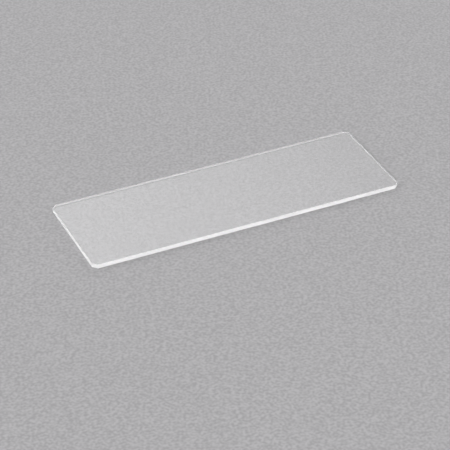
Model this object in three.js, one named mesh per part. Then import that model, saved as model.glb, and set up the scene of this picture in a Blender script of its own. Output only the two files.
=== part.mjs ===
// A plain glass microscope slide.
//
// One flat plate, polished on both faces and ground round its rim. The outline is a rectangle with its
// four corners clipped at 45 degrees, so the rim has eight straight runs. The rim stands square to the
// faces, and a narrow ground bevel, the arris, breaks the edge round each face. The arris keeps one
// width all the way and meets itself in a mitre at each of the eight corners of the outline.
//
// Millimetres, +Z up. The slide lies flat with the origin at the centre of its underside: X runs along
// its length and Y across its width.

import * as THREE from 'three';

// The plate.
const LENGTH = 76;
const WIDTH = 26;
const THICKNESS = 1;

// The ground rim.
const CORNER_CUT = 1.05;   // taken off each side at a corner
const ARRIS_RUN = 0.1;     // width of the arris, seen from above
const ARRIS_DROP = 0.1;    // depth of the arris down the rim

const polishedGlass = new THREE.MeshStandardMaterial({
  name: 'polished_glass',
  color: 0xe4ecea,
  roughness: 0.04,
  metalness: 0,
  transparent: true,
  opacity: 0.3,
});

const groundGlass = new THREE.MeshStandardMaterial({
  name: 'ground_glass',
  color: 0xc9c6ca,
  roughness: 0.75,
  metalness: 0,
});

/** The outline of the plate: a rectangle about the origin, clipped at 45 degrees on each corner. */
function clippedRectangle(length, width, cut) {
  const x = length / 2;
  const y = width / 2;
  const outline = new THREE.Shape();
  outline.moveTo(x - cut, -y);
  outline.lineTo(x, -y + cut);
  outline.lineTo(x, y - cut);
  outline.lineTo(x - cut, y);
  outline.lineTo(-x + cut, y);
  outline.lineTo(-x, y - cut);
  outline.lineTo(-x, -y + cut);
  outline.lineTo(-x + cut, -y);
  outline.closePath();
  return outline;
}

/**
 * The plate with its arrises. The square part of the rim is extruded on the full outline, and a bevel of
 * one straight step at each end draws the outline in to the polished face. The extrusion's two material
 * groups are then the two finishes: the faces are polished, and the rim with its arrises is ground.
 */
function buildSlide() {
  const outline = clippedRectangle(LENGTH, WIDTH, CORNER_CUT);
  const geometry = new THREE.ExtrudeGeometry(outline, {
    depth: THICKNESS - 2 * ARRIS_DROP,
    bevelEnabled: true,
    bevelSegments: 1,
    bevelSize: ARRIS_RUN,
    bevelOffset: -ARRIS_RUN,
    bevelThickness: ARRIS_DROP,
  });
  const slide = new THREE.Mesh(geometry, [polishedGlass, groundGlass]);
  slide.name = 'glass_slide';
  slide.position.z = ARRIS_DROP;
  return slide;
}

const microscopeSlide = new THREE.Group();
microscopeSlide.name = 'microscope_slide';
microscopeSlide.add(buildSlide());

export default microscopeSlide;
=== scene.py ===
"""Visual model of a plain glass microscope slide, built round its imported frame.

The slide is one plate of clear glass. Both faces are polished. The rim, the bevels that break its
edges (the arrises) and the four clipped corners are ground to a pale satin. Its sizes are read from
the frame, in metres.
"""

from math import cos, pi, radians

import bmesh
import bpy
from mathutils import Euler, Matrix, Vector


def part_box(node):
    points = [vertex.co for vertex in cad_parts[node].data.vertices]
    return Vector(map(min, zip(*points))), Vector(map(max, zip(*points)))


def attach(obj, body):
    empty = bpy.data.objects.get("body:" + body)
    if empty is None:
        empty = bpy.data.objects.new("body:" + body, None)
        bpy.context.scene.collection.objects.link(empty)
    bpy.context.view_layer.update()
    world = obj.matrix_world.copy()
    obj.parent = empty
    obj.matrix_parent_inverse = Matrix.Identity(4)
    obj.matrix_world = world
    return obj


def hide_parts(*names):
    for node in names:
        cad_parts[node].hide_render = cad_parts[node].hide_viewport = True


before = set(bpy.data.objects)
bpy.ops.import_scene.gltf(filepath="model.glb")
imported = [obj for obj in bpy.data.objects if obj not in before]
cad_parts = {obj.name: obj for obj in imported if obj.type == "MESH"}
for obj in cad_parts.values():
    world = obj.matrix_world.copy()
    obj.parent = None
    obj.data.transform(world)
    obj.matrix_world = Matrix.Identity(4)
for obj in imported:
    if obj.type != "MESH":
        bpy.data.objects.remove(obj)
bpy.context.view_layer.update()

bl_info = {
    "name": "Microscope Slide",
    "version": (1, 0, 0),
    "blender": (4, 5, 0),
    "location": "3D View > Sidebar > Slide",
    "description": "Models a ground-edge microscope slide and a plain studio to show it in",
    "category": "Add Mesh",
}

MM = 0.001
NODE = "glass_slide"
LOW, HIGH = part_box(NODE)
TOUCH = 1e-6  # two heights or places closer than this are the same
FLAT = 0.999  # a face whose normal has this much of Z is one of the two polished faces
SIDE_STEP = 1.0 * MM  # length of the even steps along the rim
WANDER_LENGTH = 5.0 * MM  # length over which the arris wanders
SOFT_TURN = radians(30)  # edges that turn less than this are shaded smooth

# Noise. Its raw value seldom leaves the range from NOISE_LOW to NOISE_HIGH.
NOISE_LOW = 0.25
NOISE_HIGH = 0.75
NOISE_TURN = (radians(35), radians(25), radians(20))  # lays its grid askew to every face

# The glass.
GLASS_IOR = 1.52
HAZE_SIZE = 12.0 * MM  # patches that handling has dulled
SWELL_SIZE = 14.0 * MM  # waves of the drawn sheet
SWELL_DEPTH = 0.002 * MM
WHEEL_LINES = (6.0, 6.0, 1.0)  # the wheel's marks run along the rim, six times as long as high
SHADE_SIZE = 2.5 * MM  # height of the paler and darker bands on the ground rim
SHADE_SPREAD = 0.04  # how much darker than its colour they get
SATIN_SIZE = 0.3 * MM  # height of the smoother and rougher ones
SATIN_SPREAD = 0.06  # how far their roughness is from the rim's own
FURROW_SIZE = 0.4 * MM  # height of the furrows
FURROW_DEPTH = 0.002 * MM

# The floor.
FLOOR_WIDTH = 8.0
FLOOR_GAP = 0.01 * MM  # keeps it just clear of the glass
GRAIN_SIZE = 0.6 * MM
GRAIN_SPREAD = 0.12  # how far the paper's fibres stray from its colour

# The dome of light. Heights on it are shares of the way up, and a strength of 1 is white.
HORIZON = 0.06  # up to here the dome has the floor's tone
DUSK = 0.15  # from here up it has its own
TENT_LIGHT = 0.15
# Round soft lights: degrees clockwise from straight behind the slide, degrees up, degrees from the
# middle to the edge, and strength at the middle.
SOFT_LIGHTS = (
    (225, 50, 35, 1.9),  # the key, in front and to the left
    (270, 28, 35, 1.7),  # a fill from the left
    (45, 8, 26, 4.45),  # low behind, which runs through the plate and lights the near rim
    (4, 50, 35, 2.15),  # high behind, which the top face mirrors
    (315, 28, 35, 0.8),  # fills, which the top face mirrors when it is seen from other sides
    (135, 28, 35, 0.5),
)
BOUNCES = 64  # enough for light to run the length of the plate inside it

# The camera. The lens and the frame are in millimetres.
LENS = 162.33
FRAME_WIDTH = 36.0
NEAREST, FARTHEST = 0.01, 50.0  # the camera shows what lies between
ROLL = radians(-0.375)
STAND = Vector((-0.351, -6.056, 465.2)) * MM  # from the slide to the camera, along its own axes


def measure_rim():
    """The corner cut, and the width of the arris over the face, read off the frame's plate."""
    corners = [v.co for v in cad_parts[NODE].data.vertices]
    long_side = max(c.x for c in corners if HIGH.y - c.y < TOUCH)
    face_end = max(c.x for c in corners if HIGH.z - c.z < TOUCH)
    return HIGH.x - long_side, HIGH.x - face_end


CORNER_CUT, ARRIS = measure_rim()


class SlideSizes(bpy.types.PropertyGroup):
    """The sizes that shape the plate."""

    corner_cut: bpy.props.FloatProperty(
        name="Corner cut",
        description="Length taken off each side at a clipped corner",
        default=CORNER_CUT,
        min=0.0,
        precision=5,
        unit="LENGTH",
    )
    corner_ease: bpy.props.FloatProperty(
        name="Corner ease",
        description="Length over which the wheel rounds each upright edge of the rim",
        default=0.04 * MM,
        min=0.0,
        precision=5,
        unit="LENGTH",
    )
    arris: bpy.props.FloatProperty(
        name="Arris",
        description="Width of the ground bevel round each face, seen from above",
        default=ARRIS,
        min=0.0,
        precision=5,
        unit="LENGTH",
    )
    arris_wander: bpy.props.FloatProperty(
        name="Arris wander",
        description="Swing of the noise that makes the arris stray from straight",
        default=0.02 * MM,
        min=0.0,
        precision=5,
        unit="LENGTH",
    )


class GlassFinish(bpy.types.PropertyGroup):
    """The colours and textures of the glass."""

    tint: bpy.props.FloatVectorProperty(
        name="Tint",
        description="Colour that the clear glass gives to what is seen through it",
        default=(0.99, 0.99, 0.992),
        min=0.0,
        max=1.0,
        subtype="COLOR",
    )
    ground: bpy.props.FloatVectorProperty(
        name="Ground glass",
        description="Colour of the ground rim",
        default=(1.0, 1.0, 1.0),
        min=0.0,
        max=1.0,
        subtype="COLOR",
    )
    haze: bpy.props.FloatProperty(
        name="Haze",
        description="Roughness of the polished faces where handling has dulled them most",
        default=0.03,
        min=0.0,
        max=1.0,
        subtype="FACTOR",
    )
    grinding: bpy.props.FloatProperty(
        name="Grinding",
        description="Roughness that the wheel gives the rim",
        default=0.9,
        min=SATIN_SPREAD,
        max=1.0 - SATIN_SPREAD,
        subtype="FACTOR",
    )


class StudioSettings(bpy.types.PropertyGroup):
    """The floor, the light and the place of the camera."""

    floor: bpy.props.FloatVectorProperty(
        name="Floor",
        description="Colour of the floor",
        default=(0.432, 0.426, 0.436),
        min=0.0,
        max=1.0,
        subtype="COLOR",
    )
    azimuth: bpy.props.FloatProperty(
        name="Azimuth",
        description="Angle of the camera round the slide, from straight in front",
        default=radians(-24.68),
        subtype="ANGLE",
    )
    elevation: bpy.props.FloatProperty(
        name="Elevation",
        description="Angle of the camera above the floor",
        default=radians(34.48),
        subtype="ANGLE",
    )


def pick(plate, kind, wanted):
    """Selects, in edit mode, only the plate's edges or faces that wanted() is true for."""
    bpy.ops.mesh.select_mode(type=kind)
    bpy.ops.mesh.select_all(action="DESELECT")
    edit = bmesh.from_edit_mesh(plate.data)
    for item in {"EDGE": edit.edges, "FACE": edit.faces}[kind]:
        item.select_set(wanted(item))
    bmesh.update_edit_mesh(plate.data)


def is_upright(edge):
    a, b = (v.co for v in edge.verts)
    return abs(a.x - b.x) < TOUCH and abs(a.y - b.y) < TOUCH


def runs_along(edge, axis):
    """True for an edge that lies along the X or Y axis for more than half the plate."""
    along = edge.verts[1].co - edge.verts[0].co
    return abs(along[axis]) > (HIGH - LOW)[axis] / 2


def bevel(plate, wanted, width, segments=1):
    """Bevels the edges that wanted() is true for.

    Each bevel goes into edit mode and out again, which numbers the faces alike in every run.
    """
    bpy.ops.object.mode_set(mode="EDIT")
    pick(plate, "EDGE", wanted)
    bpy.ops.mesh.bevel(offset=width, offset_type="OFFSET", segments=segments, affect="EDGES")
    bpy.ops.object.mode_set(mode="OBJECT")


def divide_sides(plate):
    """Cuts the long straight edges into even steps, and keeps each polished face in one piece."""
    bpy.ops.object.mode_set(mode="EDIT")
    for axis in (0, 1):
        pick(plate, "EDGE", lambda edge: runs_along(edge, axis))
        bpy.ops.mesh.subdivide(number_cuts=round((HIGH - LOW)[axis] / SIDE_STEP) - 1)
    for side in (1, -1):
        pick(plate, "FACE", lambda face: face.normal.z * side > FLAT)
        bpy.ops.mesh.dissolve_faces()
    bpy.ops.object.mode_set(mode="OBJECT")


def stray(plate, sizes):
    """Lets the arris's inner edge wander across the face, and its outer one up and down the rim."""
    if not sizes.arris_wander:
        return
    clear = sizes.corner_cut + 2 * sizes.corner_ease
    wander = bpy.data.textures.new("wheel_wander", type="CLOUDS")
    wander.noise_scale = WANDER_LENGTH
    wander.noise_depth = 2
    for axis, name in enumerate("XYZ"):
        for side, edge in ((1, HIGH[axis]), (-1, LOW[axis])):
            line = edge - side * sizes.arris
            moved = [
                v.index
                for v in plate.data.vertices
                if abs(v.co[axis] - line) < TOUCH
                and (abs(v.co.x) < HIGH.x - clear or abs(v.co.y) < HIGH.y - clear)
            ]
            group = plate.vertex_groups.new(name=f"line_{name}{side}")
            group.add(moved, 1.0, "REPLACE")
            shift = plate.modifiers.new(group.name, "DISPLACE")
            shift.texture = wander
            shift.texture_coords = "LOCAL"
            shift.direction = name
            shift.vertex_group = group.name
            shift.mid_level = 0.5
            shift.strength = -side * sizes.arris_wander
            bpy.ops.object.modifier_apply(modifier=shift.name)
    plate.vertex_groups.clear()
    bpy.data.textures.remove(wander)


def add_plate(sizes):
    """A block at the plate's size, clipped on its corners and bevelled round both faces."""
    bpy.ops.object.select_all(action="DESELECT")
    bpy.ops.mesh.primitive_cube_add(size=1.0, location=(LOW + HIGH) / 2, scale=HIGH - LOW)
    plate = bpy.context.object
    plate.name = "slide_plate"
    plate.data.name = "slide_plate"
    bpy.ops.object.transform_apply(location=True, rotation=True, scale=True)
    bevel(plate, is_upright, sizes.corner_cut)
    bevel(plate, is_upright, sizes.corner_ease, segments=2)
    bevel(plate, lambda edge: not is_upright(edge), sizes.arris)
    divide_sides(plate)
    stray(plate, sizes)
    return plate


def check_plate(plate):
    """Raises an error unless the plate is closed and fills the box of the node it stands for."""
    edit = bmesh.new()
    edit.from_mesh(plate.data)
    closed = all(edge.is_contiguous for edge in edit.edges)
    edit.free()
    if not closed:
        raise RuntimeError("The slide has an open or folded edge")
    for axis in range(3):
        places = [v.co[axis] for v in plate.data.vertices]
        if abs(min(places) - LOW[axis]) > TOUCH or abs(max(places) - HIGH[axis]) > TOUCH:
            raise RuntimeError("The slide and the CAD plate differ in size")


def smooth(plate):
    """Rounds the look of the eased corners, and keeps the flats flat."""
    bpy.ops.object.shade_smooth_by_angle(angle=SOFT_TURN)
    flats = plate.modifiers.new("flats", "WEIGHTED_NORMAL")
    flats.keep_sharp = True
    bpy.ops.object.modifier_apply(modifier=flats.name)


def unevenness_group():
    """A value that wavers between Low and High over patches of a Size, drawn out by Stretch."""
    group = bpy.data.node_groups.new("unevenness", "ShaderNodeTree")
    for name, kind, value in (
        ("Stretch", "NodeSocketVector", (1.0, 1.0, 1.0)),
        ("Size", "NodeSocketFloat", 1.0 * MM),
        ("Detail", "NodeSocketFloat", 2.0),
        ("Low", "NodeSocketFloat", 0.0),
        ("High", "NodeSocketFloat", 1.0),
    ):
        group.interface.new_socket(name, in_out="INPUT", socket_type=kind).default_value = value
    group.interface.new_socket("Value", in_out="OUTPUT", socket_type="NodeSocketFloat")
    nodes, links = group.nodes, group.links
    given = nodes.new("NodeGroupInput")
    result = nodes.new("NodeGroupOutput")
    place = nodes.new("ShaderNodeTexCoord")
    stretched = nodes.new("ShaderNodeVectorMath")
    stretched.operation = "DIVIDE"
    turned = nodes.new("ShaderNodeMapping")
    turned.inputs["Rotation"].default_value = NOISE_TURN
    per_metre = nodes.new("ShaderNodeMath")
    per_metre.operation = "DIVIDE"
    per_metre.inputs[0].default_value = 1.0
    noise = nodes.new("ShaderNodeTexNoise")
    spread = nodes.new("ShaderNodeMapRange")
    spread.inputs["From Min"].default_value = NOISE_LOW
    spread.inputs["From Max"].default_value = NOISE_HIGH
    links.new(place.outputs["Object"], stretched.inputs[0])
    links.new(given.outputs["Stretch"], stretched.inputs[1])
    links.new(given.outputs["Size"], per_metre.inputs[1])
    links.new(stretched.outputs["Vector"], turned.inputs["Vector"])
    links.new(turned.outputs["Vector"], noise.inputs["Vector"])
    links.new(per_metre.outputs["Value"], noise.inputs["Scale"])
    links.new(given.outputs["Detail"], noise.inputs["Detail"])
    links.new(noise.outputs["Fac"], spread.inputs["Value"])
    links.new(given.outputs["Low"], spread.inputs["To Min"])
    links.new(given.outputs["High"], spread.inputs["To Max"])
    links.new(spread.outputs["Result"], result.inputs["Value"])
    return group


def add_unevenness(material, size, low=0.0, high=1.0, detail=2.0, stretch=(1.0, 1.0, 1.0)):
    """Places the unevenness group in a material and returns its output."""
    group = bpy.data.node_groups.get("unevenness") or unevenness_group()
    uneven = material.node_tree.nodes.new("ShaderNodeGroup")
    uneven.node_tree = group
    uneven.inputs["Stretch"].default_value = stretch
    uneven.inputs["Size"].default_value = size
    uneven.inputs["Detail"].default_value = detail
    uneven.inputs["Low"].default_value = low
    uneven.inputs["High"].default_value = high
    return uneven.outputs["Value"]


def add_shades(material, share, colour, darkest, palest):
    """Mixes two shades of a colour, by a share from 0 to 1 that varies over the surface."""
    mix = material.node_tree.nodes.new("ShaderNodeMix")
    mix.data_type = "RGBA"
    mix.inputs["A"].default_value = (*(darkest * c for c in colour), 1.0)
    mix.inputs["B"].default_value = (*(palest * c for c in colour), 1.0)
    material.node_tree.links.new(share, mix.inputs["Factor"])
    return mix.outputs["Result"]


def add_relief(material, height, depth, shader):
    """Turns a height from 0 to 1 into relief of the given depth on the shader."""
    bump = material.node_tree.nodes.new("ShaderNodeBump")
    bump.inputs["Strength"].default_value = 1.0
    bump.inputs["Distance"].default_value = depth
    material.node_tree.links.new(height, bump.inputs["Height"])
    material.node_tree.links.new(bump.outputs["Normal"], shader.inputs["Normal"])


def polished_glass(finish):
    """Clear glass with the faint swell of drawn sheet and a breath of handling haze."""
    material = bpy.data.materials.new("polished_glass")
    material.use_nodes = True
    glass = material.node_tree.nodes["Principled BSDF"]
    glass.inputs["Base Color"].default_value = (*finish.tint, 1.0)
    glass.inputs["IOR"].default_value = GLASS_IOR
    glass.inputs["Transmission Weight"].default_value = 1.0
    haze = add_unevenness(material, HAZE_SIZE, high=finish.haze)
    material.node_tree.links.new(haze, glass.inputs["Roughness"])
    swell = add_unevenness(material, SWELL_SIZE, detail=0.0)
    add_relief(material, swell, SWELL_DEPTH, glass)
    return material


def ground_glass(finish):
    """Satin glass with the fine lines that the wheel leaves along the rim."""
    material = bpy.data.materials.new("ground_glass")
    material.use_nodes = True
    links = material.node_tree.links
    glass = material.node_tree.nodes["Principled BSDF"]
    glass.inputs["IOR"].default_value = GLASS_IOR
    glass.inputs["Transmission Weight"].default_value = 1.0
    bands = add_unevenness(material, SHADE_SIZE, stretch=WHEEL_LINES)
    shades = add_shades(material, bands, finish.ground, 1 - SHADE_SPREAD, 1)
    links.new(shades, glass.inputs["Base Color"])
    satin = add_unevenness(
        material,
        SATIN_SIZE,
        low=finish.grinding - SATIN_SPREAD,
        high=finish.grinding + SATIN_SPREAD,
        stretch=WHEEL_LINES,
    )
    links.new(satin, glass.inputs["Roughness"])
    furrows = add_unevenness(material, FURROW_SIZE, detail=1.0, stretch=WHEEL_LINES)
    add_relief(material, furrows, FURROW_DEPTH, glass)
    return material


class SLIDE_OT_make_plate(bpy.types.Operator):
    """Models the slide and gives it its polished and ground finishes"""

    bl_idname = "slide.make_plate"
    bl_label = "Make the slide"

    def execute(self, context):
        plate = add_plate(context.scene.slide_sizes)
        check_plate(plate)
        finish = context.scene.slide_finish
        plate.data.materials.append(polished_glass(finish))
        plate.data.materials.append(ground_glass(finish))
        for face in plate.data.polygons:
            face.material_index = 0 if abs(face.normal.z) > FLAT else 1
        smooth(plate)
        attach(plate, "root")
        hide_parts(NODE)
        return {"FINISHED"}


def floor_paper(studio):
    """Plain matt paper with a faint even grain, which shows how clear the glass is."""
    material = bpy.data.materials.new("floor_paper")
    material.use_nodes = True
    paper = material.node_tree.nodes["Principled BSDF"]
    paper.inputs["Roughness"].default_value = 1.0
    paper.inputs["Specular IOR Level"].default_value = 0.0
    fibres = add_unevenness(material, GRAIN_SIZE, detail=0.0)
    shades = add_shades(material, fibres, studio.floor, 1 - GRAIN_SPREAD, 1 + GRAIN_SPREAD)
    material.node_tree.links.new(shades, paper.inputs["Base Color"])
    return material


def add_floor(studio):
    """A wide sheet of paper under the slide."""
    bpy.ops.object.select_all(action="DESELECT")
    bpy.ops.mesh.primitive_plane_add(size=FLOOR_WIDTH, location=(0, 0, LOW.z - FLOOR_GAP))
    floor = bpy.context.object
    floor.name = "floor"
    floor.data.materials.append(floor_paper(studio))


def direction(round_back, height):
    """A unit vector: degrees clockwise from straight behind the slide, and degrees up."""
    turn = Euler((radians(height), 0.0, -radians(round_back)))
    return turn.to_matrix() @ Vector((0.0, 1.0, 0.0))


def set_light(studio):
    """A dome that rises from the floor's tone into a soft tent with round soft lights in it."""
    world = bpy.data.worlds.new("light_tent")
    world.use_nodes = True
    bpy.context.scene.world = world
    nodes, links = world.node_tree.nodes, world.node_tree.links
    where = nodes.new("ShaderNodeTexCoord")
    light = None
    for round_back, height, reach, strength in SOFT_LIGHTS:
        nearness = nodes.new("ShaderNodeVectorMath")
        nearness.operation = "DOT_PRODUCT"
        nearness.inputs[1].default_value = direction(round_back, height)
        glow = nodes.new("ShaderNodeMapRange")
        glow.interpolation_type = "SMOOTHSTEP"
        glow.inputs["From Min"].default_value = cos(radians(reach))
        glow.inputs["To Max"].default_value = strength
        total = nodes.new("ShaderNodeMath")
        total.inputs[0].default_value = TENT_LIGHT
        links.new(where.outputs["Generated"], nearness.inputs[0])
        links.new(nearness.outputs["Value"], glow.inputs["Value"])
        links.new(glow.outputs["Result"], total.inputs[1])
        if light:
            links.new(light.outputs["Value"], total.inputs[0])
        light = total
    split = nodes.new("ShaderNodeSeparateXYZ")
    risen = nodes.new("ShaderNodeMapRange")
    risen.interpolation_type = "SMOOTHSTEP"
    risen.inputs["From Min"].default_value = HORIZON
    risen.inputs["From Max"].default_value = DUSK
    dome = nodes.new("ShaderNodeMix")
    dome.data_type = "RGBA"
    dome.inputs["A"].default_value = (*studio.floor, 1.0)
    links.new(where.outputs["Generated"], split.inputs["Vector"])
    links.new(split.outputs["Z"], risen.inputs["Value"])
    links.new(risen.outputs["Result"], dome.inputs["Factor"])
    links.new(light.outputs["Value"], dome.inputs["B"])
    links.new(dome.outputs["Result"], nodes["Background"].inputs["Color"])


def follow_light(scene):
    """Lets light cross the plate unblurred and run along inside it from rim to rim."""
    scene.cycles.max_bounces = BOUNCES
    scene.cycles.transmission_bounces = BOUNCES
    scene.cycles.glossy_bounces = BOUNCES
    scene.cycles.blur_glossy = 0.0


def set_camera(studio):
    """A long lens, aimed at the slide from the studio's azimuth and elevation."""
    camera = bpy.data.objects.new("camera", bpy.data.cameras.new("camera"))
    bpy.context.scene.collection.objects.link(camera)
    camera.data.lens = LENS
    camera.data.sensor_width = FRAME_WIDTH
    camera.data.clip_start = NEAREST
    camera.data.clip_end = FARTHEST
    turn = (
        Matrix.Rotation(studio.azimuth, 4, "Z")
        @ Matrix.Rotation(pi / 2 - studio.elevation, 4, "X")
        @ Matrix.Rotation(ROLL, 4, "Z")
    )
    camera.matrix_world = turn @ Matrix.Translation(STAND)
    bpy.context.scene.camera = camera


class SLIDE_OT_set_studio(bpy.types.Operator):
    """Sets the floor, the light and the camera"""

    bl_idname = "slide.set_studio"
    bl_label = "Set the studio"

    def execute(self, context):
        studio = context.scene.slide_studio
        add_floor(studio)
        set_light(studio)
        set_camera(studio)
        follow_light(context.scene)
        context.scene.view_settings.view_transform = "Standard"
        return {"FINISHED"}


class SLIDE_PT_panel(bpy.types.Panel):
    """Lists the settings and the two steps, in the 3D view's sidebar"""

    bl_idname = "SLIDE_PT_panel"
    bl_label = "Microscope Slide"
    bl_space_type = "VIEW_3D"
    bl_region_type = "UI"
    bl_category = "Slide"

    def draw(self, context):
        scene = context.scene
        steps = (
            (SLIDE_OT_make_plate, (scene.slide_sizes, scene.slide_finish)),
            (SLIDE_OT_set_studio, (scene.slide_studio,)),
        )
        for step, settings in steps:
            box = self.layout.box()
            for group in settings:
                for name in group.bl_rna.properties.keys():
                    if name not in ("rna_type", "name"):
                        box.prop(group, name)
            box.operator(step.bl_idname)


CLASSES = (
    SlideSizes,
    GlassFinish,
    StudioSettings,
    SLIDE_OT_make_plate,
    SLIDE_OT_set_studio,
    SLIDE_PT_panel,
)


def register():
    for cls in CLASSES:
        bpy.utils.register_class(cls)
    bpy.types.Scene.slide_sizes = bpy.props.PointerProperty(type=SlideSizes)
    bpy.types.Scene.slide_finish = bpy.props.PointerProperty(type=GlassFinish)
    bpy.types.Scene.slide_studio = bpy.props.PointerProperty(type=StudioSettings)


def unregister():
    del bpy.types.Scene.slide_studio
    del bpy.types.Scene.slide_finish
    del bpy.types.Scene.slide_sizes
    for cls in reversed(CLASSES):
        bpy.utils.unregister_class(cls)


def main():
    register()
    bpy.ops.slide.make_plate()
    bpy.ops.slide.set_studio()


if __name__ == "__main__":
    main()
